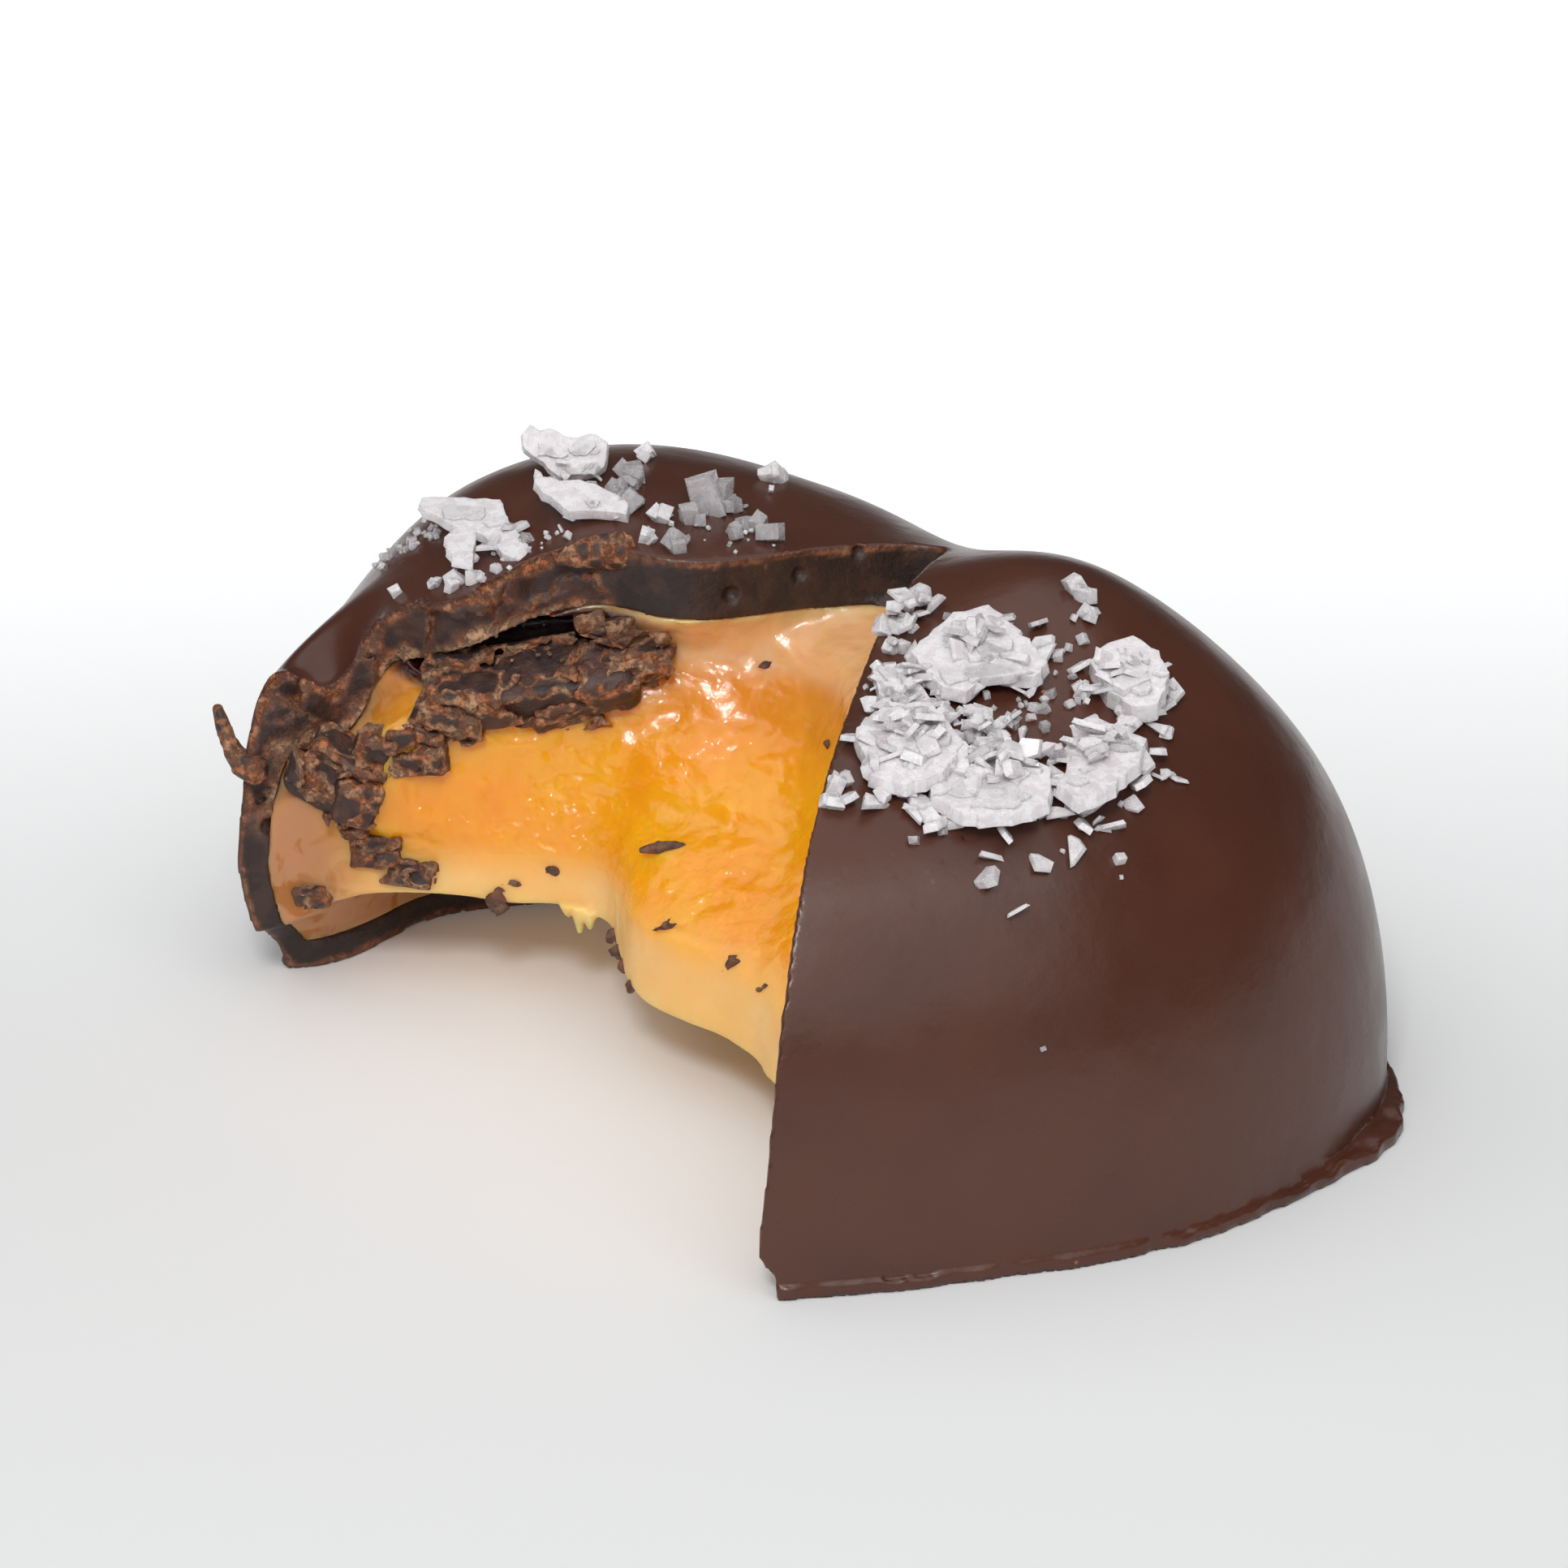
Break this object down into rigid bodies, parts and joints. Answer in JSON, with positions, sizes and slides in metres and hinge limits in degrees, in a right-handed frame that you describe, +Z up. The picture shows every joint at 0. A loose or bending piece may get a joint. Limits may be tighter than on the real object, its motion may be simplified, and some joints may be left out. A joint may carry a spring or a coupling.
{
  "type": "salted caramel candy",
  "caption": "Dark chocolate candy with a soft caramel filling and sea salt flakes, bitten open from one long side.",
  "frame": {"origin": "middle of the candy's box, on the surface that it rests on", "axes": "+X along the long side, +Z up, the bite opens towards -Y"},
  "size_m": [0.0394, 0.0284, 0.0165],
  "materials": {
    "chocolate": "semi-gloss dark chocolate",
    "caramel": "wet glossy caramel",
    "broken_chocolate": "matt broken chocolate",
    "salt": "frosty salt crystal"
  },
  "bodies": {
    "root": {"chocolate_shell": "chocolate", "caramel_core": "caramel", "pressed_shard": "broken_chocolate", "corner_chunk": "broken_chocolate"}
  },
  "joints": []
}
